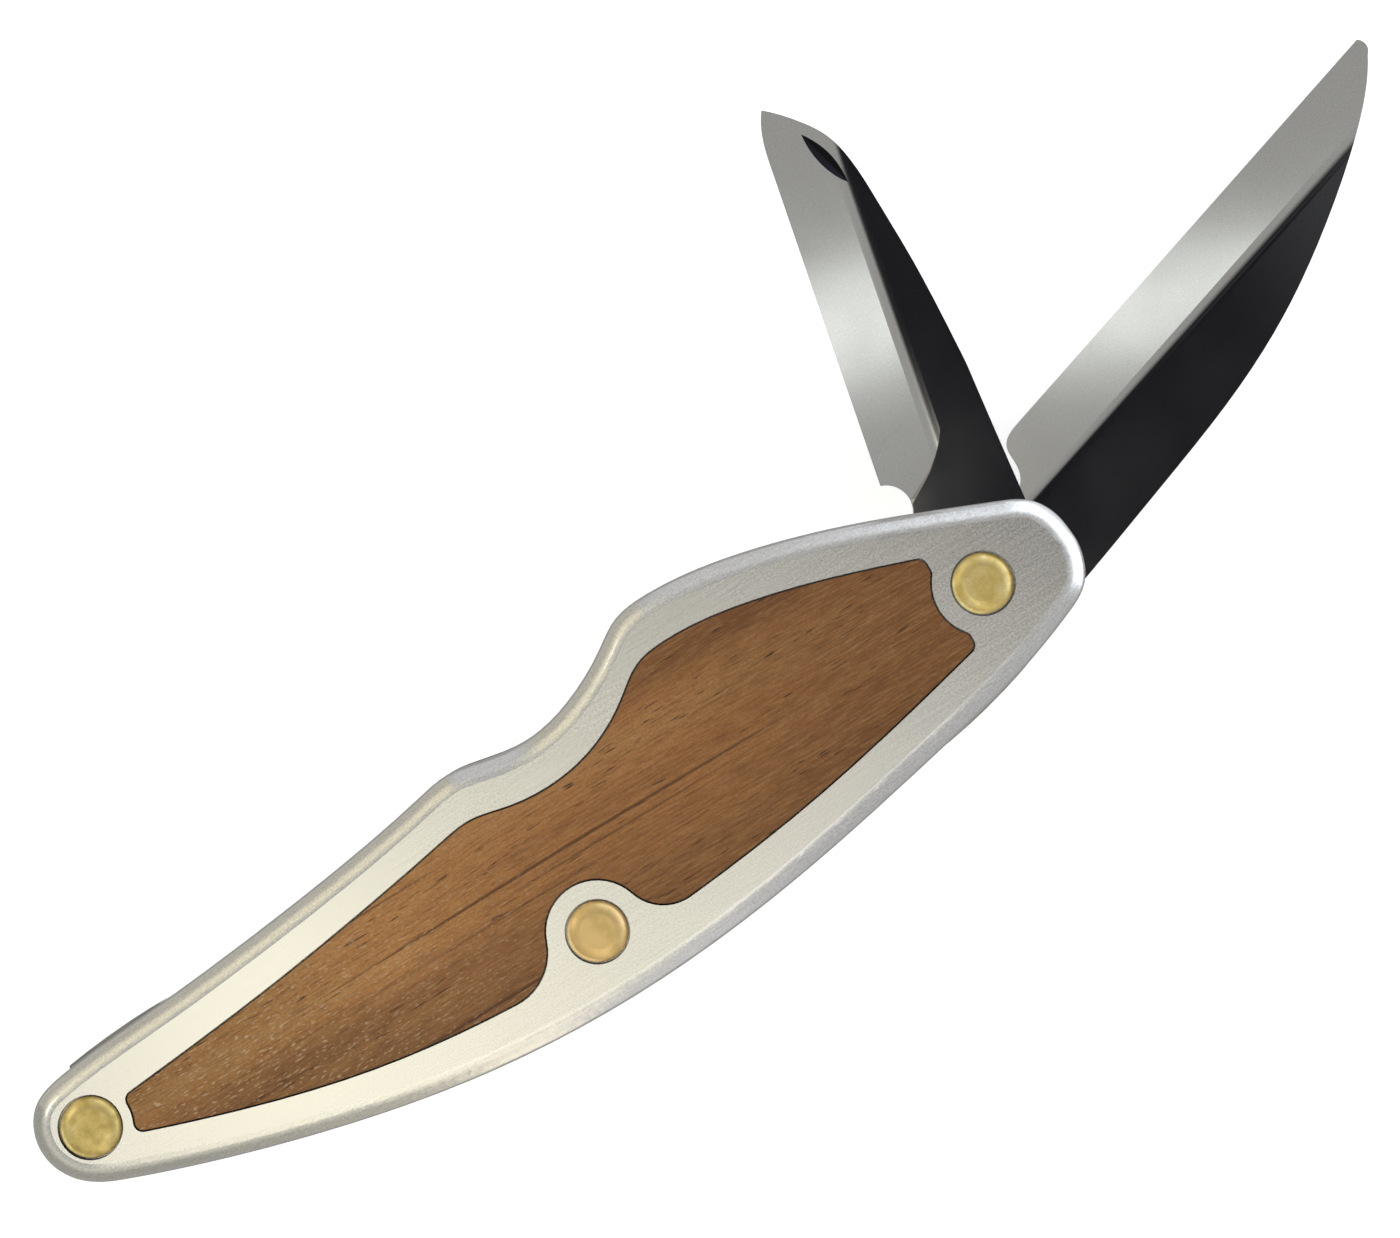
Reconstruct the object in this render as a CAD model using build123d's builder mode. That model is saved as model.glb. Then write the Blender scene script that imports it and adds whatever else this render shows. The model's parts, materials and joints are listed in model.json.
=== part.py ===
from build123d import *

import os
from math import atan, cos, degrees, radians, sin, tan

# Folding whittling knife: two slip-joint blades on one pivot at the head of a curved handle.
# Origin: the pivot's axis, on the plane of the rear scale's outer face.
# +X runs from the tail rivet to the pivot, +Y towards the side that the blades fold into,
# +Z from the rear scale to the front scale. Millimetres and degrees.
# The roughing blade stands fully open and the detail blade at its half stop.

# --- the stack, from the rear face to the front face ---
scale_thickness = 3.9
channel_width = 2.3
divider_thickness = 0.5
rear_channel_z = scale_thickness
divider_z = rear_channel_z + channel_width
front_channel_z = divider_z + divider_thickness
front_scale_z = front_channel_z + channel_width
knife_thickness = front_scale_z + scale_thickness
middle_plane = Plane.XY.offset(knife_thickness / 2)
scale_edge_round = 1.8

# --- rivets: a headed sleeve from the front and a headed stud from the rear ---
pivot_at = (0.0, 0.0)
middle_at = (-46.2, -8.75)
tail_at = (-94.6, 0.0)
rivet_places = {"pivot": pivot_at, "middle": middle_at, "tail": tail_at}
head_radius = 2.8
head_flat_radius = 1.6
head_thickness = 1.05
head_rim_drop = 0.4
head_recess = 0.04
counterbore_radius = 2.98
counterbore_depth = head_thickness + head_recess
sleeve_radius = 1.6
stud_radius = 0.95
stud_length = 8.0
stud_hole_length = 9.0
fixed_clearance = 0.01
running_clearance = 0.03

# --- pivot washers ---
washer_radius = 3.4
washer_thickness = 0.13

# --- walnut inlays ---
inlay_end_x = -3.5
inlay_rivet_wall = 4.75
inlay_tail_wall = 4.0
inlay_tailward_round = 5.2
inlay_headward_round = 4.2
inlay_pocket_depth = 1.8
inlay_gap = 0.12
inlay_recess = 0.05
inlay_edge_round = 0.12

# --- blades ---
blade_thickness = 2.0
edge_thickness = 0.16
grind_softness = 0.75
blade_lift = (channel_width - blade_thickness) / 2
roughing_z = rear_channel_z + blade_lift
detail_z = front_channel_z + blade_lift
roughing_edge_angle = 17.15
roughing_edge_distance = 7.08
roughing_bevel_width = 5.9
roughing_spine_distance = 7.17
detail_edge_angle = 77.6
detail_edge_distance = 5.71
detail_bevel_width = 6.1
detail_spine_distance = 6.86

# --- the tang's flats and the spring's seat, which meet at each stop ---
back_angle = 18.4
seat_angle = back_angle - 90
seat_distance = 4.6
seat_gap = 0.02
seat_length = 10.2
tang_step = 4.3
step_gap = 0.1
roughing_half_turn = 60.0
roughing_closed_turn = 150.0
detail_closed_turn = 86.0
detail_open_turn = -64.0

# --- nail nicks, cut by a wheel with one shallow and one steeper flank ---
nick_wheel_radius = 18.5
nick_floor_angle = 72.7
nick_wall_angle = 59.8
roughing_nick_depth = 0.27
detail_nick_depth = 0.49
roughing_nick_at = (43.55, 11.9)
roughing_nick_angle = 215.7
detail_nick_at = (7.83, 41.64)
detail_nick_angle = -76.9


def polar(radius, angle):
    """The point at a distance from the pivot in a direction."""
    return (radius * cos(radians(angle)), radius * sin(radians(angle)))


def beside(direction, distance, along):
    """The point on the line that stands across a direction, at a distance from the pivot."""
    foot = polar(distance, direction)
    step = polar(along, direction + 90)
    return (foot[0] + step[0], foot[1] + step[1])


def handle_outline():
    """The closed smooth outline that both scales share, clockwise from the nose."""
    nose = [(9.4, -0.5), (9.1, -2.8), (7.9, -4.9), (5.2, -6.45), (1.0, -8.0)]
    back = [(-11.0, -10.95), (-28.0, -14.1), (-46.0, -15.6), (-63.0, -14.4), (-80.0, -10.6)]
    tail = [(-94.0, -5.95), (-98.0, -3.75), (-99.8, 0.1), (-98.2, 4.1), (-94.4, 5.4)]
    neck = [(-84.5, 6.2), (-73.0, 7.2), (-61.7, 8.6), (-54.0, 9.95), (-50.4, 10.45)]
    finger_groove = [(-47.3, 9.95), (-44.0, 9.4), (-40.2, 9.7), (-36.6, 10.9), (-33.0, 12.85)]
    brow = [(-30.2, 14.55), (-26.6, 15.05), (-18.0, 13.95), (-8.0, 11.0)]
    nose_top = [(1.5, 7.2), (5.0, 5.7), (7.6, 4.25), (9.05, 1.9)]
    corners = [*nose, *back, *tail, *neck, *finger_groove, *brow, *nose_top]
    Spline(*corners, periodic=True)


def corners_round(profile, place, radius):
    """The corners of a profile that lie on a circle round a place."""
    centre = Vector(*place)
    return profile.vertices().filter_by(lambda v: abs((Vector(v.X, v.Y) - centre).length - radius) < 0.01)


def inlay_profile(grow=0.0):
    """The inlay's face, a border's width inside the scale's outline and clear of the rivets."""
    front_side = [(-93.0, 0.6), (-84.0, 1.35), (-73.0, 2.5), (-61.5, 4.15), (-54.0, 5.45), (-50.8, 5.8)]
    groove_side = [(-47.6, 5.15), (-43.8, 4.7), (-39.8, 5.1), (-36.0, 6.45), (-33.2, 8.2), (-30.6, 9.95)]
    brow_side = [(-27.4, 10.5), (-19.5, 9.65), (-10.5, 7.2), (-2.5, 4.4)]
    back_side = [(-2.5, -4.35), (-10.0, -6.1), (-22.0, -8.5), (-34.0, -10.05), (-46.0, -10.75)]
    tail_side = [(-58.0, -10.4), (-70.0, -8.8), (-80.5, -6.15), (-93.0, -1.9)]
    with BuildSketch() as profile:
        with BuildLine():
            upper = Spline(*[(x, y + grow) for x, y in front_side + groove_side + brow_side])
            lower = Spline(*[(x, y - grow) for x, y in back_side + tail_side])
            Line(upper @ 1, lower @ 0)
            Line(lower @ 1, upper @ 0)
        make_face()
        with Locations((inlay_end_x + grow, 0)):
            Rectangle(20, 40, align=(Align.MIN, Align.CENTER), mode=Mode.SUBTRACT)
        with Locations(pivot_at, middle_at):
            Circle(inlay_rivet_wall - grow, mode=Mode.SUBTRACT)
        with Locations(tail_at):
            Circle(inlay_tail_wall - grow, mode=Mode.SUBTRACT)
        for end, radius in ((0, inlay_tailward_round), (-1, inlay_headward_round)):
            corners = corners_round(profile, middle_at, inlay_rivet_wall - grow)
            fillet(corners.sort_by(Axis.X)[end], radius=radius + grow)
        fillet(corners_round(profile, tail_at, inlay_tail_wall - grow), radius=0.8 + grow)
        fillet(profile.vertices().filter_by(lambda v: abs(v.X - inlay_end_x - grow) < 0.01), radius=0.9)
    return profile.sketch


def back_spring(z):
    """A spring that fills the tail, holds the middle rivet and reaches along the back to the tang."""
    seat_far = beside(seat_angle, seat_distance + seat_gap, tang_step - step_gap)
    seat_near = beside(seat_angle, seat_distance + seat_gap, tang_step - step_gap - seat_length)
    below_the_nose = beside(seat_angle, 14.0, tang_step - step_gap)
    with BuildPart() as spring:
        with BuildSketch(Plane.XY.offset(z)):
            with BuildLine():
                handle_outline()
            make_face()
            with BuildLine():
                proud_tail = ThreePointArc((-93.9, 5.72), (-89.5, 6.2), (-83.5, 6.32))
                Polyline(proud_tail @ 1, (-94.1, 5.3), proud_tail @ 0)
            make_face()
            with BuildLine():
                proud_back = ThreePointArc((5.0, -6.55), (-1.5, -8.95), (-12.0, -11.15))
                Line(proud_back @ 1, proud_back @ 0)
            make_face()
            with BuildLine():
                Polyline(below_the_nose, seat_far, seat_near)
                inner_edge = Spline(
                    seat_near, (-14.0, -7.9), (-26.0, -8.4), (-36.5, -6.3), (-46.2, -4.3), (-56.0, -3.9),
                    (-65.0, -1.4), (-74.0, 3.6), (-79.0, 8.0),
                    tangents=(polar(1, back_angle + 180), (-0.6, 0.8)),
                )
                Polyline(inner_edge @ 1, (-79.0, 20.0), (25.0, 20.0), (25.0, -15.0), below_the_nose)
            make_face(mode=Mode.SUBTRACT)
            with Locations(middle_at, tail_at):
                Circle(sleeve_radius + fixed_clearance, mode=Mode.SUBTRACT)
        extrude(amount=channel_width)
    return spring.part


def grind(z, edge_angle, edge_distance, bevel_width, plunge):
    """The wedge that grinds a bevel off a blade's upper face and runs out along a plunge by the tang."""
    along = Vector(*polar(1, edge_angle))
    across = Vector(*polar(1, edge_angle + 90))
    grind_line = across * (edge_distance - bevel_width)
    top = z + blade_thickness
    slope = (blade_thickness - edge_thickness) / 2 / bevel_width
    tilt = degrees(atan(slope))
    reach = bevel_width + 3
    start, turn, end, heel = [grind_line + along * a + across * b for a, b in plunge]
    with BuildPart() as wedge:
        with BuildSketch(Plane(origin=grind_line + Vector(0, 0, top), x_dir=across, z_dir=along)):
            with BuildLine():
                soft = TangentArc((-grind_softness, 0), polar(grind_softness, -tilt), tangent=(1, 0))
                Polyline(soft @ 1, (reach, -slope * reach), (reach, 1), (-grind_softness, 1), soft @ 0)
            make_face()
        extrude(amount=80)
        with BuildSketch(Plane.XY.offset(top)):
            with BuildLine():
                spine_side = across * (-grind_softness - 0.3)
                far_end = grind_line + along * 75
                Line(far_end + spine_side, start + spine_side)
                ThreePointArc(start + spine_side, turn, end)
                Polyline(end, heel, far_end + across * 20, far_end + spine_side)
            make_face()
        extrude(amount=-blade_thickness, taper=30, mode=Mode.INTERSECT)
    return wedge.part


def nail_nick(place, direction, depth, face_z, outward):
    """The wheel that cuts a nail nick into a blade's face, with its steeper flank on the spine's side."""
    axis = Vector(*polar(1, direction + 90))
    centre = Vector(place[0], place[1], face_z + outward * (nick_wheel_radius - depth))
    half_width = 2.0
    floor_shoulder = nick_wheel_radius - half_width / tan(radians(nick_floor_angle))
    wall_shoulder = nick_wheel_radius - half_width / tan(radians(nick_wall_angle))
    with BuildPart() as wheel:
        with BuildSketch(Plane(origin=centre, x_dir=axis, z_dir=Vector(*polar(1, direction)))):
            with BuildLine():
                Polyline(
                    (-half_width, 0), (-half_width, floor_shoulder), (0, nick_wheel_radius),
                    (half_width, wall_shoulder), (half_width, 0), close=True,
                )
            make_face()
        revolve(axis=Axis(centre, axis))
    return wheel.part


# --- scales, mirror images of each other ---
with BuildPart() as rear_scale:
    with BuildSketch():
        with BuildLine():
            handle_outline()
        make_face()
    extrude(amount=scale_thickness)
    fillet(rear_scale.faces().sort_by(Axis.Z)[0].edges(), radius=scale_edge_round)
    with BuildSketch():
        add(inlay_profile(inlay_gap))
    extrude(amount=inlay_pocket_depth, mode=Mode.SUBTRACT)
    with BuildSketch():
        with Locations(*rivet_places.values()):
            Circle(counterbore_radius)
    extrude(amount=counterbore_depth, mode=Mode.SUBTRACT)
    with BuildSketch():
        with Locations(*rivet_places.values()):
            Circle(sleeve_radius + fixed_clearance)
    extrude(amount=scale_thickness, mode=Mode.SUBTRACT)

with BuildPart() as front_scale:
    mirror(rear_scale.part, about=middle_plane)

# --- inlays, flush in the scales' pockets ---
with BuildPart() as rear_inlay:
    with BuildSketch(Plane.XY.offset(inlay_recess)):
        add(inlay_profile())
    extrude(amount=inlay_pocket_depth - inlay_recess)
    fillet(rear_inlay.faces().sort_by(Axis.Z)[0].edges(), radius=inlay_edge_round)

with BuildPart() as front_inlay:
    mirror(rear_inlay.part, about=middle_plane)

# --- back springs and the divider between them ---
with BuildPart() as roughing_spring:
    add(back_spring(rear_channel_z))

with BuildPart() as detail_spring:
    add(back_spring(front_channel_z))

with BuildPart() as centre_divider:
    with BuildSketch(Plane.XY.offset(divider_z)):
        with BuildLine():
            handle_outline()
        make_face()
        with Locations(*rivet_places.values()):
            Circle(sleeve_radius + fixed_clearance, mode=Mode.SUBTRACT)
    extrude(amount=divider_thickness)

# --- roughing blade: straight cutting edge, curved spine, flats for open, half and closed ---
with BuildPart() as roughing_blade:
    half_angle = seat_angle - roughing_half_turn
    closed_angle = seat_angle - roughing_closed_turn
    heel = beside(roughing_edge_angle + 90, roughing_edge_distance, -13.3)
    edge_end = beside(roughing_edge_angle + 90, roughing_edge_distance, -60.6)
    tip_back = (55.95, 22.95)
    spine_root = beside(seat_angle, roughing_spine_distance, tang_step)
    with BuildSketch(Plane.XY.offset(roughing_z)):
        with BuildLine():
            Line(heel, edge_end)
            ThreePointArc(edge_end, (56.28, 23.95), tip_back)
            Spline(
                tip_back, (51.3, 17.4), (44.4, 11.6), (37.0, 6.6), (28.8, 2.55), (19.4, -0.95), spine_root,
                tangents=((-0.5, -0.87), polar(1, back_angle + 180)),
            )
            Polyline(
                spine_root,
                beside(seat_angle, seat_distance, tang_step),
                beside(seat_angle, seat_distance, -2.0),
            )
            ThreePointArc(
                beside(seat_angle, seat_distance, -2.0),
                polar(5.15, (seat_angle + half_angle) / 2),
                beside(half_angle, seat_distance, 2.0),
            )
            Line(beside(half_angle, seat_distance, 2.0), beside(half_angle, seat_distance, -2.4))
            ThreePointArc(
                beside(half_angle, seat_distance, -2.4),
                polar(5.5, (half_angle + closed_angle) / 2),
                beside(closed_angle, seat_distance, 2.4),
            )
            closed_seat_end = beside(closed_angle, seat_distance, -3.6)
            Line(beside(closed_angle, seat_distance, 2.4), closed_seat_end)
            Spline(
                closed_seat_end, (2.4, 5.95), (5.6, 4.95), (7.9, 5.6), (8.7, 7.2), (8.7, 8.9), heel,
                tangents=(polar(1, closed_angle - 90), polar(1, roughing_edge_angle)),
            )
        make_face()
    extrude(amount=blade_thickness)
    with BuildSketch(Plane.XY.offset(roughing_z)):
        Circle(sleeve_radius + running_clearance)
    extrude(amount=blade_thickness, mode=Mode.SUBTRACT)
    roughing_plunge = [(8.6, 0), (7.3, 0.4), (6.9, 1.6), (6.9, 12.0)]
    roughing_grind = grind(
        roughing_z, roughing_edge_angle, roughing_edge_distance, roughing_bevel_width, roughing_plunge
    )
    add(roughing_grind, mode=Mode.SUBTRACT)
    mirror(roughing_grind, about=Plane.XY.offset(roughing_z + blade_thickness / 2), mode=Mode.SUBTRACT)
    roughing_nick = nail_nick(roughing_nick_at, roughing_nick_angle, roughing_nick_depth, roughing_z, -1)
    add(roughing_nick, mode=Mode.SUBTRACT)

# --- detail blade: short straight edge, clipped back, round choil, flats for open, half and closed ---
with BuildPart() as detail_blade:
    open_angle = seat_angle - detail_open_turn
    closed_angle = seat_angle - detail_closed_turn
    heel = beside(detail_edge_angle + 90, detail_edge_distance, -11.4)
    edge_end = beside(detail_edge_angle + 90, detail_edge_distance, -41.0)
    tip = (5.45, 47.36)
    spine_root = beside(open_angle, detail_spine_distance, tang_step)
    choil_end = (-2.7, 7.85)
    with BuildSketch(Plane.XY.offset(detail_z)):
        with BuildLine():
            Line(heel, edge_end)
            Spline(edge_end, (4.1, 44.8), tip, tangents=(polar(1, detail_edge_angle), (0.62, 0.78)))
            Spline(
                tip, (7.8, 44.75), (9.25, 42.4), (9.95, 39.7), (10.15, 34.5), (10.05, 27.3), (9.5, 19.3),
                spine_root, tangents=((0.75, -0.66), polar(1, open_angle - 90)),
            )
            Polyline(
                spine_root,
                beside(open_angle, seat_distance, tang_step),
                beside(open_angle, seat_distance, -2.0),
            )
            ThreePointArc(
                beside(open_angle, seat_distance, -2.0),
                polar(5.15, (open_angle + seat_angle) / 2),
                beside(seat_angle, seat_distance, 2.0),
            )
            Line(beside(seat_angle, seat_distance, 2.0), beside(seat_angle, seat_distance, -2.3))
            ThreePointArc(
                beside(seat_angle, seat_distance, -2.3),
                polar(5.45, (seat_angle + closed_angle) / 2),
                beside(closed_angle, seat_distance, 2.3),
            )
            closed_seat_end = beside(closed_angle, seat_distance, -3.5)
            Line(beside(closed_angle, seat_distance, 2.3), closed_seat_end)
            Spline(
                closed_seat_end, (-5.6, 4.2), choil_end,
                tangents=(polar(1, closed_angle - 90), (0.85, 0.5)),
            )
            ThreePointArc(choil_end, (-1.45, 10.1), heel)
        make_face()
    extrude(amount=blade_thickness)
    with BuildSketch(Plane.XY.offset(detail_z)):
        Circle(sleeve_radius + running_clearance)
    extrude(amount=blade_thickness, mode=Mode.SUBTRACT)
    detail_plunge = [(15.5, 0), (12.4, 0.45), (10.6, 2.0), (5.9, 7.2)]
    detail_grind = grind(
        detail_z, detail_edge_angle, detail_edge_distance, detail_bevel_width, detail_plunge
    )
    add(detail_grind, mode=Mode.SUBTRACT)
    mirror(detail_grind, about=Plane.XY.offset(detail_z + blade_thickness / 2), mode=Mode.SUBTRACT)
    detail_face_z = detail_z + blade_thickness
    detail_nick = nail_nick(detail_nick_at, detail_nick_angle, detail_nick_depth, detail_face_z, 1)
    add(detail_nick, mode=Mode.SUBTRACT)


# --- rivets ---
def rivet_sleeve(place):
    """The front half of a rivet: a crowned head on a tube that runs through the knife."""
    top = knife_thickness - head_recess
    rim = top - head_rim_drop
    underside = top - head_thickness
    low_end = counterbore_depth + fixed_clearance
    with BuildPart() as sleeve:
        with BuildSketch(Plane(origin=(*place, 0), x_dir=(1, 0, 0), z_dir=(0, -1, 0))):
            with BuildLine():
                Line((0, top), (head_flat_radius, top))
                crown = TangentArc((head_flat_radius, top), (head_radius, rim), tangent=(1, 0))
                Polyline(crown @ 1, (head_radius, underside), (sleeve_radius, underside))
                Polyline((sleeve_radius, underside), (sleeve_radius, low_end), (0, low_end), (0, top))
            make_face()
        revolve(axis=Axis((*place, 0), (0, 0, 1)))
        with BuildSketch(Plane.XY.offset(low_end)):
            with Locations(place):
                Circle(stud_radius + fixed_clearance)
        extrude(amount=stud_hole_length, mode=Mode.SUBTRACT)
    return sleeve.part


def rivet_stud(place):
    """The rear half of a rivet: a crowned head with a stud that is pressed into the sleeve."""
    top = head_recess
    rim = top + head_rim_drop
    underside = top + head_thickness
    with BuildPart() as stud:
        with BuildSketch(Plane(origin=(*place, 0), x_dir=(1, 0, 0), z_dir=(0, -1, 0))):
            with BuildLine():
                Line((0, top), (head_flat_radius, top))
                crown = TangentArc((head_flat_radius, top), (head_radius, rim), tangent=(1, 0))
                Polyline(crown @ 1, (head_radius, underside), (stud_radius, underside))
                Polyline((stud_radius, underside), (stud_radius, underside + stud_length))
                Polyline((stud_radius, underside + stud_length), (0, underside + stud_length), (0, top))
            make_face()
        revolve(axis=Axis((*place, 0), (0, 0, 1)))
    return stud.part


def pivot_washer(z):
    """A thin bronze washer round the pivot, between a blade's tang and the wall of its channel."""
    with BuildPart() as washer:
        with BuildSketch(Plane.XY.offset(z)):
            Circle(washer_radius)
            Circle(sleeve_radius + 2 * fixed_clearance, mode=Mode.SUBTRACT)
        extrude(amount=washer_thickness)
    return washer.part


washer_levels = {
    "rear_outer_washer": rear_channel_z,
    "rear_inner_washer": divider_z - washer_thickness,
    "front_inner_washer": front_channel_z,
    "front_outer_washer": front_scale_z - washer_thickness,
}

pieces = {
    "front_scale": front_scale.part,
    "rear_scale": rear_scale.part,
    "front_inlay": front_inlay.part,
    "rear_inlay": rear_inlay.part,
    "detail_spring": detail_spring.part,
    "roughing_spring": roughing_spring.part,
    "centre_divider": centre_divider.part,
    "detail_blade": detail_blade.part,
    "roughing_blade": roughing_blade.part,
}
for name, place in rivet_places.items():
    pieces[name + "_rivet_sleeve"] = rivet_sleeve(place)
    pieces[name + "_rivet_stud"] = rivet_stud(place)
for name, level in washer_levels.items():
    pieces[name] = pivot_washer(level)

os.makedirs("parts", exist_ok=True)
for name, piece in pieces.items():
    piece.label = name
    export_step(piece, f"parts/{name}.step")
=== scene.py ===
import json
import math

import bpy
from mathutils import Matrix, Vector


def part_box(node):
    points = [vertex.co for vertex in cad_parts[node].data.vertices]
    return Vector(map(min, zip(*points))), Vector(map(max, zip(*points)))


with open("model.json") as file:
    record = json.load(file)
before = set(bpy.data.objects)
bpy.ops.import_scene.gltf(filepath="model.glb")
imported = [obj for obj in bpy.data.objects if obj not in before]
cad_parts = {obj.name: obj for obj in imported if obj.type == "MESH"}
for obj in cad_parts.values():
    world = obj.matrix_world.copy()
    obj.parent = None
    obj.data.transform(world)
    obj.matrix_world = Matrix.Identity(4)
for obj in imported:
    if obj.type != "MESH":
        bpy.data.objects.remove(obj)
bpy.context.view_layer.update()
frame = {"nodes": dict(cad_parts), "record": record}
nodes = frame["nodes"]
scene = bpy.context.scene

# ---------------------------------------------------------------- the camera's place
FRONT_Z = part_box("front_scale")[1].z
CAMERA_HEIGHT = 0.45
CAMERA_ROLL = math.radians(31.37)
CAMERA_LENS = 127.9
CAMERA_AIM = Vector((-0.02355, 0.01057, FRONT_Z))


# ---------------------------------------------------------------- node helpers
class Shader:
    """A node tree with short calls for the nodes that the materials share."""

    def __init__(self, tree):
        self.tree = tree

    def node(self, kind, settings=None, **inputs):
        made = self.tree.nodes.new(kind)
        for key, value in (settings or {}).items():
            setattr(made, key, value)
        for key, value in inputs.items():
            self.plug(made, key.replace("_", " "), value)
        return made

    def plug(self, node, socket, value):
        target = node.inputs[int(socket)] if socket.isdigit() else node.inputs[socket]
        if isinstance(value, bpy.types.NodeSocket):
            self.tree.links.new(value, target)
        else:
            target.default_value = value

    def maths(self, operation, a, b=0.0):
        made = self.node("ShaderNodeMath", {"operation": operation})
        self.plug(made, "0", a)
        self.plug(made, "1", b)
        return made.outputs[0]

    def vector(self, operation, a, b):
        made = self.node("ShaderNodeVectorMath", {"operation": operation})
        self.plug(made, "0", a)
        self.plug(made, "Scale" if operation == "SCALE" else "1", b)
        returns_number = operation in ("DOT_PRODUCT", "DISTANCE")
        return made.outputs["Value" if returns_number else "Vector"]

    def object_place(self, scale=(1.0, 1.0, 1.0)):
        """The place on the piece, in metres, stretched by scale."""
        place = self.node("ShaderNodeTexCoord").outputs["Object"]
        return self.vector("MULTIPLY", place, scale)

    def object_normal_z(self):
        """How far the piece's own surface faces along the knife's thickness, from -1 to 1."""
        normal = self.node("ShaderNodeTexCoord").outputs["Normal"]
        return self.node("ShaderNodeSeparateXYZ", Vector=normal).outputs[2]

    def noise(self, place, detail, roughness=0.5):
        made = self.node("ShaderNodeTexNoise", Vector=place, Scale=1.0, Detail=detail, Roughness=roughness)
        return made.outputs["Fac"]

    def ramp(self, value, stops):
        made = self.node("ShaderNodeValToRGB", Fac=value)
        elements = made.color_ramp.elements
        while len(elements) < len(stops):
            elements.new(0.5)
        for element, (place, colour) in zip(elements, stops):
            element.position = place
            element.color = (*colour, 1.0)
        return made.outputs["Color"]

    def mix(self, share, a, b, blend="MIX"):
        made = self.node("ShaderNodeMix", {"data_type": "RGBA", "blend_type": blend})
        self.plug(made, "0", share)
        self.plug(made, "6", a)
        self.plug(made, "7", b)
        return made.outputs[2]

    def span(self, value, low, high, to_low=0.0, to_high=1.0, smooth=False):
        kind = "SMOOTHSTEP" if smooth else "LINEAR"
        made = self.node("ShaderNodeMapRange", {"interpolation_type": kind, "clamp": True})
        for socket, given in zip("01234", (value, low, high, to_low, to_high)):
            self.plug(made, socket, given)
        return made.outputs[0]

    def crevice(self, reach):
        """How closely other surfaces face this one within reach, used to paint shade into gaps: 0 in the
        open, 1 deep in a gap.
        """
        made = self.node("ShaderNodeAmbientOcclusion", {"samples": 6}, Distance=reach)
        return self.maths("SUBTRACT", 1.0, made.outputs["AO"])

    def bump(self, height, distance, strength):
        made = self.node("ShaderNodeBump", Height=height, Distance=distance, Strength=strength)
        return made.outputs["Normal"]


def new_material(name):
    material = bpy.data.materials.new(name)
    material.use_nodes = True
    shader = Shader(material.node_tree)
    surface = material.node_tree.nodes["Principled BSDF"]
    return material, shader, surface


def between(shader, value, low, high, soft):
    """1 between low and high and 0 beyond them, with soft edges."""
    rise = shader.span(value, low - soft, low + soft, smooth=True)
    fall = shader.span(value, high - soft, high + soft, 1, 0, smooth=True)
    return shader.maths("MULTIPLY", rise, fall)


def piece_direction(shader, angle):
    """A direction in the plane of the knife that turns with the piece."""
    settings = {"vector_type": "VECTOR", "convert_from": "OBJECT", "convert_to": "WORLD"}
    turned = shader.node("ShaderNodeVectorTransform", settings)
    turned.inputs[0].default_value = (math.cos(angle), math.sin(angle), 0.0)
    return turned.outputs[0]


# ---------------------------------------------------------------- materials
ACROSS_THE_BRUSH = math.pi / 2
GAP_REACH = 0.0004
MIDDLE_RIVET_X = (-0.060, -0.030)
# Each nail nick: its middle on the blade, and the bearing from it towards the blade's spine.
NICK_REACH = 0.0037
NICKS = [
    ((0.0081, 0.04047, 0.0), math.radians(13.1)),
    ((0.04355, 0.0119, 0.0), math.radians(305.7)),
]


def satin_aluminium():
    """Aluminium with a fine satin grain, faintly brushed along the handle, with painted shade darkening
    its gaps.
    """
    material, shader, surface = new_material("satin_aluminium")
    hairlines = shader.noise(shader.object_place((130, 8000, 8000)), detail=2)
    speckle = shader.noise(shader.object_place((5200, 5200, 5200)), detail=1)
    cloud = shader.noise(shader.object_place((90, 90, 90)), detail=3)
    grain = shader.maths("ADD", shader.maths("MULTIPLY", hairlines, 0.4),
                         shader.maths("MULTIPLY", speckle, 0.6))
    tone = shader.ramp(grain, [(0.35, (0.76, 0.752, 0.745)), (0.65, (0.95, 0.942, 0.935))])
    tone = shader.mix(shader.span(cloud, 0.3, 0.7, 0, 0.25), tone, (0.80, 0.79, 0.775, 1))
    # Painted shade: the aluminium darkens to near black where other surfaces close round it, in its gaps.
    painted_gap_shade = shader.span(shader.crevice(GAP_REACH), 0.45, 0.85)
    shader.plug(surface, "Base Color", shader.mix(painted_gap_shade, tone, (0.05, 0.04, 0.035, 1)))
    shader.plug(surface, "Metallic", 1.0)
    shader.plug(surface, "Roughness", shader.span(grain, 0.35, 0.65, 0.175, 0.225))
    shader.plug(surface, "Anisotropic", 0.25)
    shader.plug(surface, "Tangent", piece_direction(shader, ACROSS_THE_BRUSH))
    return material


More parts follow.
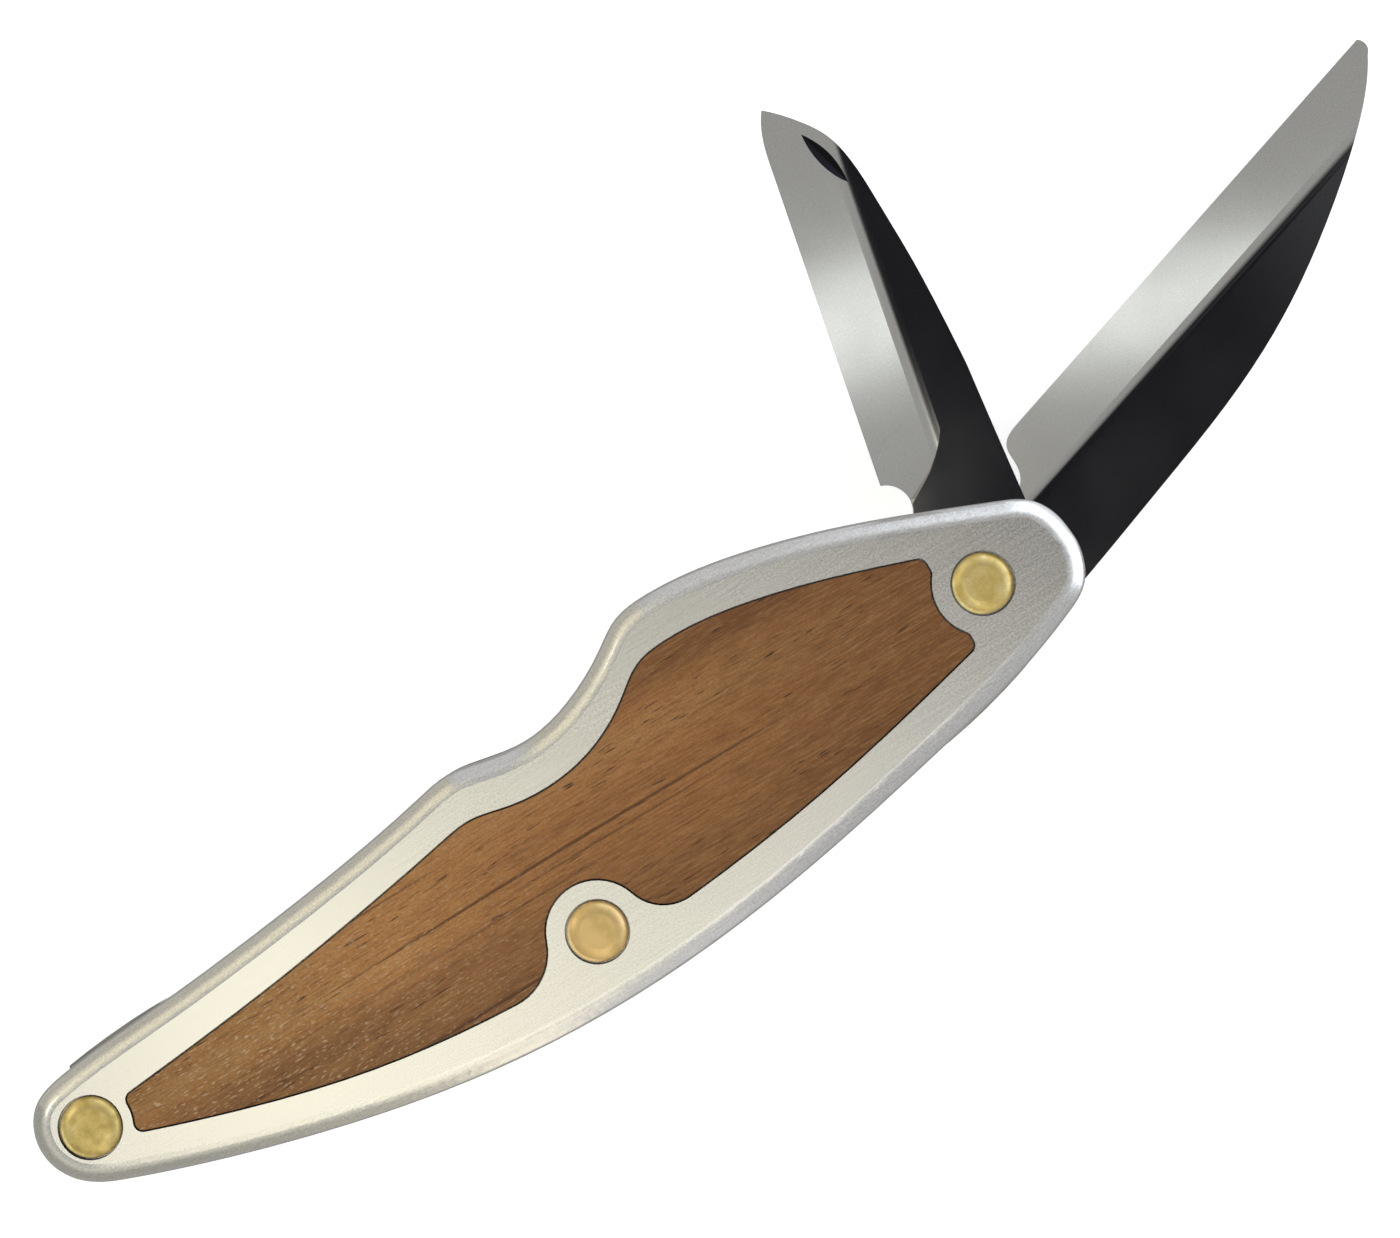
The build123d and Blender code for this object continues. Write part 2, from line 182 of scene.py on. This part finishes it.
def walnut():
    """Oiled walnut, grain along the handle: soft bands, fine fibres, long dark lines and open pores."""
    material, shader, surface = new_material("walnut")
    sway = shader.noise(shader.object_place((14, 30, 30)), detail=1)
    bend = shader.node("ShaderNodeCombineXYZ", Y=shader.span(sway, 0, 1, -0.0015, 0.0015)).outputs[0]
    place = shader.vector("ADD", shader.object_place(), bend)

    def grain(along, across, detail, roughness=0.5):
        return shader.noise(shader.vector("MULTIPLY", place, (along, across, across)), detail=detail,
                            roughness=roughness)

    bands = grain(12, 260, 3)
    fibres = grain(420, 5200, 3, 0.6)
    speckle = grain(3800, 5200, 1)
    long_lines = grain(14, 1300, 1)
    pores = grain(420, 4600, 1)
    pore_areas = grain(60, 380, 2)
    glint_noise = grain(1500, 5200, 1)
    tone = shader.ramp(bands, [
        (0.32, (0.215, 0.088, 0.030)), (0.45, (0.270, 0.116, 0.040)),
        (0.55, (0.325, 0.140, 0.045)), (0.68, (0.360, 0.172, 0.062)),
    ])
    along = shader.node("ShaderNodeSeparateXYZ", Vector=place).outputs[0]
    # Painted light: the walnut is made lighter and less warm towards the tail, darker towards the head,
    # and lighter towards its +Y side, standing in for how the studio light and sheen fall on it.
    painted_light_tone = shader.ramp(shader.span(along, -0.09, -0.005), [
        (0.0, (0.60, 0.66, 0.68)), (0.2, (0.72, 0.80, 0.83)), (0.32, (0.86, 0.94, 0.98)),
        (0.5, (0.69, 0.71, 0.71)), (0.7, (0.61, 0.61, 0.60)), (0.82, (0.48, 0.47, 0.46)),
        (1.0, (0.39, 0.37, 0.36)),
    ])
    across = shader.node("ShaderNodeSeparateXYZ", Vector=place).outputs[1]
    painted_light_across = shader.span(across, -0.0095, -0.0035, 1.45, 2.0)
    painted_light_tone = shader.vector("SCALE", painted_light_tone, painted_light_across)
    tone = shader.mix(1.0, tone, painted_light_tone, "MULTIPLY")
    tone = shader.mix(shader.span(fibres, 0.30, 0.50, 0.50, 0), tone, (0.135, 0.060, 0.028, 1))
    tone = shader.mix(shader.span(fibres, 0.50, 0.72, 0, 0.45), tone, (0.480, 0.270, 0.120, 1))
    tone = shader.mix(shader.span(speckle, 0.38, 0.62, 0.22, 0), tone, (0.110, 0.050, 0.025, 1))
    tone = shader.mix(shader.span(long_lines, 0.26, 0.34, 0.75, 0), tone, (0.080, 0.034, 0.016, 1))
    pore_share = shader.maths("MULTIPLY", shader.span(pores, 0.27, 0.37, 0.9, 0),
                              shader.span(pore_areas, 0.42, 0.60, 0.15, 1))
    tone = shader.mix(pore_share, tone, (0.040, 0.016, 0.008, 1))
    # Painted highlight: pale glints on the fibres, strongest near the tail where the light reflects.
    painted_glint_share = shader.maths("MULTIPLY", shader.span(glint_noise, 0.60, 0.72),
                               shader.span(along, -0.075, -0.045, 0.8, 0.1))
    tone = shader.mix(painted_glint_share, tone, (0.620, 0.430, 0.260, 1))
    # Painted shade: where the walnut's surface turns away from the face, on its sloping rim, it is
    # darkened almost to black; it is also made rougher there.
    painted_rim_shade = shader.span(shader.maths("ABSOLUTE", shader.object_normal_z()), 0.72, 0.97, 1, 0)
    shader.plug(surface, "Base Color", shader.mix(painted_rim_shade, tone, (0.022, 0.014, 0.012, 1)))
    shader.plug(surface, "Roughness", shader.span(painted_rim_shade, 0, 1, 0.46, 0.8))
    shader.plug(surface, "Specular IOR Level", 0.25)
    height = shader.maths("SUBTRACT", shader.maths("MULTIPLY", fibres, 0.35), pore_share)
    shader.plug(surface, "Normal", shader.bump(height, 0.00003, 0.3))
    return material


def blade_steel():
    """Finely polished steel with a faint haze; the two flanks of each nail nick carry a painted dark
    reflection.
    """
    material, shader, surface = new_material("blade_steel")
    haze = shader.noise(shader.object_place((9000, 9000, 9000)), detail=2)
    cloud = shader.noise(shader.object_place((120, 120, 120)), detail=2)
    tone = shader.ramp(haze, [(0.3, (0.60, 0.595, 0.58)), (0.7, (0.68, 0.675, 0.66))])
    place = shader.object_place((1, 1, 0))
    normal = shader.node("ShaderNodeTexCoord").outputs["Normal"]
    nick_painted_reflection = 0.0
    for centre, spineward in NICKS:
        lean = shader.vector("DOT_PRODUCT", normal, (math.cos(spineward), math.sin(spineward), 0.0))
        steepness = shader.maths("ABSOLUTE", shader.maths("ADD", lean, 0.1))
        flank = between(shader, steepness, 0.22, 0.6, 0.04)
        near = shader.maths("LESS_THAN", shader.vector("DISTANCE", place, centre), NICK_REACH)
        nick_painted_reflection = shader.maths("MAXIMUM", nick_painted_reflection, shader.maths("MULTIPLY", flank, near))
    # Painted reflection: the flanks of each nail nick are coloured near black, as if they reflected
    # something dark.
    shader.plug(surface, "Base Color", shader.mix(nick_painted_reflection, tone, (0.015, 0.015, 0.018, 1)))
    shader.plug(surface, "Metallic", 1.0)
    shader.plug(surface, "Roughness", shader.span(cloud, 0.3, 0.7, 0.055, 0.075))
    return material


def spring_steel():
    """Ground steel, duller than the blades."""
    material, shader, surface = new_material("spring_steel")
    lines = shader.noise(shader.object_place((200, 2500, 2500)), detail=2)
    tone = shader.ramp(lines, [(0.3, (0.30, 0.29, 0.28)), (0.7, (0.42, 0.41, 0.40))])
    shader.plug(surface, "Base Color", tone)
    shader.plug(surface, "Metallic", 1.0)
    shader.plug(surface, "Roughness", 0.35)
    return material


def brass():
    """Cloth-polished brass: a little stained, warmer at the middle rivet, with painted shade in the gap
    round it.
    """
    material, shader, surface = new_material("brass")
    stain = shader.noise(shader.object_place((900, 900, 900)), detail=4)
    grain = shader.noise(shader.object_place((5200, 5200, 5200)), detail=2)
    tone = shader.ramp(stain, [
        (0.32, (0.66, 0.50, 0.17)), (0.5, (0.84, 0.65, 0.25)), (0.68, (0.95, 0.78, 0.36)),
    ])
    tone = shader.mix(shader.span(grain, 0.35, 0.65, 0.18, 0), tone, (0.45, 0.32, 0.10, 1))
    along = shader.node("ShaderNodeSeparateXYZ", Vector=shader.object_place()).outputs[0]
    warm = shader.maths("MULTIPLY", between(shader, along, *MIDDLE_RIVET_X, 0.001),
                        shader.span(stain, 0.35, 0.65, 0.5, 0.9))
    tone = shader.mix(warm, tone, (0.96, 0.66, 0.31, 1))
    # Painted shade: the rivet head darkens where the counterbore wall closes round it.
    painted_gap_shade = shader.span(shader.crevice(GAP_REACH), 0.35, 0.7)
    shader.plug(surface, "Base Color", shader.mix(painted_gap_shade, tone, (0.035, 0.025, 0.012, 1)))
    shader.plug(surface, "Metallic", 1.0)
    shader.plug(surface, "Roughness", shader.span(stain, 0.3, 0.7, 0.42, 0.32))
    shader.plug(surface, "Normal", shader.bump(grain, 0.00001, 0.2))
    return material


def bronze():
    """Dull stained bronze for the washers."""
    material, shader, surface = new_material("bronze")
    stain = shader.noise(shader.object_place((1500, 1500, 1500)), detail=3)
    tone = shader.ramp(stain, [(0.3, (0.40, 0.24, 0.10)), (0.7, (0.60, 0.38, 0.18))])
    shader.plug(surface, "Base Color", tone)
    shader.plug(surface, "Metallic", 1.0)
    shader.plug(surface, "Roughness", 0.4)
    return material


made = {
    "satin_aluminium": satin_aluminium(), "walnut": walnut(), "blade_steel": blade_steel(),
    "spring_steel": spring_steel(), "brass": brass(), "bronze": bronze(),
}
for row in frame["record"]["subparts"]:
    piece = nodes[row["node"]]
    piece.data.materials.clear()
    piece.data.materials.append(made[row["material_slot"]])


# ---------------------------------------------------------------- studio
BACKDROP = (0.62, 0.63, 0.64, 1)
SOFT_BOX_DISTANCE = 1.0
FLOOR_HALF = 3.0
FLOOR_DROP = 0.00005
WHITE_REACH, GREY_REACH = 0.14, 0.50


def studio_world():
    """A soft grey room: light and dark cards overhead, and walls of different brightness all round.

    Overhead, a direction is given by its tilt: how far it leans along X and along Y for each unit up.
    """
    world = bpy.data.worlds.new("studio")
    scene.world = world
    world.use_nodes = True
    shader = Shader(world.node_tree)
    for old in list(world.node_tree.nodes):
        world.node_tree.nodes.remove(old)
    way = shader.node("ShaderNodeTexCoord").outputs["Generated"]
    x, y, z = shader.node("ShaderNodeSeparateXYZ", Vector=way).outputs
    ahead = shader.maths("MAXIMUM", z, 0.02)
    tilt_x = shader.maths("DIVIDE", x, ahead)
    tilt_y = shader.maths("DIVIDE", y, ahead)
    compass = shader.maths("ARCTAN2", y, x)

    def card(centre, half_size, soft, turn=0.0):
        """The share of a soft-edged rectangle overhead, in tilt, turned by degrees about its centre."""
        off_x = shader.maths("SUBTRACT", tilt_x, centre[0])
        off_y = shader.maths("SUBTRACT", tilt_y, centre[1])
        cosine, sine = math.cos(math.radians(turn)), math.sin(math.radians(turn))
        wide = shader.maths("ADD", shader.maths("MULTIPLY", off_x, cosine),
                            shader.maths("MULTIPLY", off_y, sine))
        tall = shader.maths("SUBTRACT", shader.maths("MULTIPLY", off_y, cosine),
                            shader.maths("MULTIPLY", off_x, sine))
        return shader.maths("MULTIPLY", between(shader, wide, -half_size[0], half_size[0], soft[0]),
                            between(shader, tall, -half_size[1], half_size[1], soft[1]))

    def wall(first, last, soft, low_z, high_z):
        """The share of a wall round the knife, between two compass bearings and below a height."""
        bearing = between(shader, compass, math.radians(first), math.radians(last), soft)
        return shader.maths("MULTIPLY", bearing, shader.span(z, high_z, low_z, smooth=True))

    upward = shader.maths("GREATER_THAN", z, 0.0)
    height = shader.span(z, -0.2, 0.6, smooth=True)
    light = shader.mix(height, (0.34, 0.34, 0.33, 1), (0.43, 0.43, 0.42, 1))
    walls = [
        (wall(-104, -80, 0.08, 0.84, 0.93), (0.64, 0.63, 0.62, 1)),
        (wall(-84, -56, 0.06, 0.84, 0.93), (0.46, 0.46, 0.46, 1)),
        (wall(-109, -96.5, 0.03, 0.80, 0.95), (1.25, 1.18, 0.95, 1)),
        (wall(-116, -103, 0.04, 0.35, 0.85), (0.44, 0.42, 0.36, 1)),
        (wall(-190, -112, 0.06, 0.80, 0.93), (0.60, 0.585, 0.50, 1)),
        (wall(128, 190, 0.06, 0.80, 0.93), (0.60, 0.585, 0.50, 1)),
        (wall(-190, -112, 0.06, 0.30, 0.75), (0.36, 0.35, 0.31, 1)),
        (wall(128, 190, 0.06, 0.30, 0.75), (0.36, 0.35, 0.31, 1)),
        (wall(94, 128, 0.03, 0.88, 0.985), (0.86, 0.80, 0.60, 1)),
        (wall(92, 128, 0.05, 0.20, 0.72), (0.50, 0.475, 0.41, 1)),
        (wall(66, 92, 0.05, 0.82, 0.93), (0.57, 0.57, 0.57, 1)),
        (wall(-50, 62, 0.20, 0.62, 0.955), (1.30, 1.38, 1.48, 1)),
    ]
    above_bench = shader.span(z, -0.7, -0.4, smooth=True)
    for share, colour in walls:
        light = shader.mix(shader.maths("MULTIPLY", share, above_bench), light, colour)
    overhead = shader.ramp(shader.span(tilt_x, -0.175, 0.055), [
        (0.00, (0.110, 0.107, 0.092)), (0.10, (0.122, 0.118, 0.098)), (0.19, (1.0, 0.975, 0.76)),
        (0.315, (1.0, 0.975, 0.76)), (0.40, (0.134, 0.130, 0.108)), (0.50, (0.098, 0.095, 0.083)),
        (0.58, (0.128, 0.125, 0.110)), (0.66, (0.185, 0.179, 0.161)), (0.75, (0.250, 0.244, 0.222)),
        (0.85, (0.280, 0.273, 0.252)), (0.94, (0.205, 0.200, 0.191)), (1.00, (0.160, 0.156, 0.153)),
    ])
    overhead = shader.vector("SCALE", overhead, 4.3)
    overhead_edge = shader.span(tilt_x, -0.07, -0.04, 0.03, 0.010)
    past_edge = shader.maths("SUBTRACT", tilt_y, overhead_edge)
    overhead_share = shader.maths("MULTIPLY", between(shader, tilt_x, -0.20, 0.055, 0.03),
                                  between(shader, past_edge, -0.45, 0.0, 0.012))
    light = shader.mix(shader.maths("MULTIPLY", overhead_share, upward), light, overhead)
    bright_cards = [
        (card((-0.205, -0.37), (0.095, 0.36), (0.04, 0.06), -20), (1.20, 1.15, 0.92, 1)),
        (card((0.027, 0.3086), (0.05, 0.0118), (0.02, 0.005), -28), (1.28, 1.33, 1.29, 1)),
        (card((-0.247, 0.1034), (0.035, 0.0112), (0.015, 0.005), -14), (1.38, 1.43, 1.39, 1)),
    ]
    for share, colour in bright_cards:
        light = shader.mix(shader.maths("MULTIPLY", share, upward), light, colour)
    dark = shader.maths("MAXIMUM", card((0.1525, 0.025), (0.1175, 0.095), (0.012, 0.03)),
                        card((0.06, 0.13), (0.11, 0.06), (0.03, 0.06)))
    dark = shader.maths("MAXIMUM", dark, card((0.02, 0.095), (0.08, 0.08), (0.04, 0.008), -12.4))
    dark = shader.maths("MULTIPLY", dark, upward)
    dark_tone = shader.mix(shader.span(tilt_x, 0.125, 0.155), (0.014, 0.014, 0.018, 1),
                           (0.062, 0.064, 0.070, 1))
    light = shader.mix(dark, light, dark_tone)
    camera_ray = shader.node("ShaderNodeLightPath").outputs["Is Camera Ray"]
    light = shader.mix(camera_ray, light, BACKDROP)
    background = shader.node("ShaderNodeBackground", Color=light)
    output = shader.node("ShaderNodeOutputWorld")
    world.node_tree.links.new(background.outputs[0], output.inputs[0])


def soft_box(name, compass, tilt, size, radiance, colour):
    """A square soft box: compass is its direction from +X and tilt its angle from straight up."""
    light = bpy.data.lights.new(name, "AREA")
    light.size = size
    light.energy = math.pi * radiance * size * size
    light.color = colour
    made_light = bpy.data.objects.new(name, light)
    scene.collection.objects.link(made_light)
    a, t = math.radians(compass), math.radians(tilt)
    away = Vector((math.cos(a) * math.sin(t), math.sin(a) * math.sin(t), math.cos(t)))
    made_light.location = CAMERA_AIM + away * SOFT_BOX_DISTANCE
    made_light.rotation_euler = (-away).to_track_quat("-Z", "Y").to_euler()


def floor():
    """A white floor under the knife that turns pale grey further out; it glows with painted light, most
    under the knife.
    """
    mesh = bpy.data.meshes.new("floor")
    signs = [(-1, -1), (1, -1), (1, 1), (-1, 1)]
    corners = [(x * FLOOR_HALF, y * FLOOR_HALF, -FLOOR_DROP) for x, y in signs]
    mesh.from_pydata(corners, [], [(0, 1, 2, 3)])
    plane = bpy.data.objects.new("floor", mesh)
    scene.collection.objects.link(plane)
    material, shader, surface = new_material("pale_floor")
    grain = shader.noise(shader.object_place((40, 40, 40)), detail=3)
    out = shader.vector("DISTANCE", shader.object_place(), tuple(CAMERA_AIM))
    tone = shader.ramp(grain, [(0.3, (0.86, 0.86, 0.86)), (0.7, (0.88, 0.88, 0.88))])
    far = shader.span(out, WHITE_REACH, GREY_REACH, smooth=True)
    shader.plug(surface, "Base Color", shader.mix(far, tone, (0.60, 0.61, 0.62, 1)))
    shader.plug(surface, "Roughness", 0.9)
    # Painted light: the floor glows though it is no lamp, strongest under the knife, which lightens the
    # shadows cast on it.
    shader.plug(surface, "Emission Color", (1, 1, 1, 1))
    shader.plug(surface, "Emission Strength", shader.span(far, 0, 1, 0.65, 0.15))
    mesh.materials.append(material)
    plane.visible_glossy = False


def camera():
    """The camera straight above the knife, turned to the photograph's angle."""
    data = bpy.data.cameras.new("camera")
    data.sensor_width = 36
    data.lens = CAMERA_LENS
    made_camera = bpy.data.objects.new("camera", data)
    scene.collection.objects.link(made_camera)
    made_camera.location = CAMERA_AIM + Vector((0, 0, CAMERA_HEIGHT))
    made_camera.rotation_euler = (0, 0, -CAMERA_ROLL)
    scene.camera = made_camera


studio_world()
soft_box("left_soft_box", 138, 41, 0.26, 1.0, (1.0, 0.98, 0.86))
soft_box("back_soft_box", -85, 18, 0.18, 0.30, (1.0, 0.99, 0.92))
floor()
camera()
scene.view_settings.view_transform = "Standard"
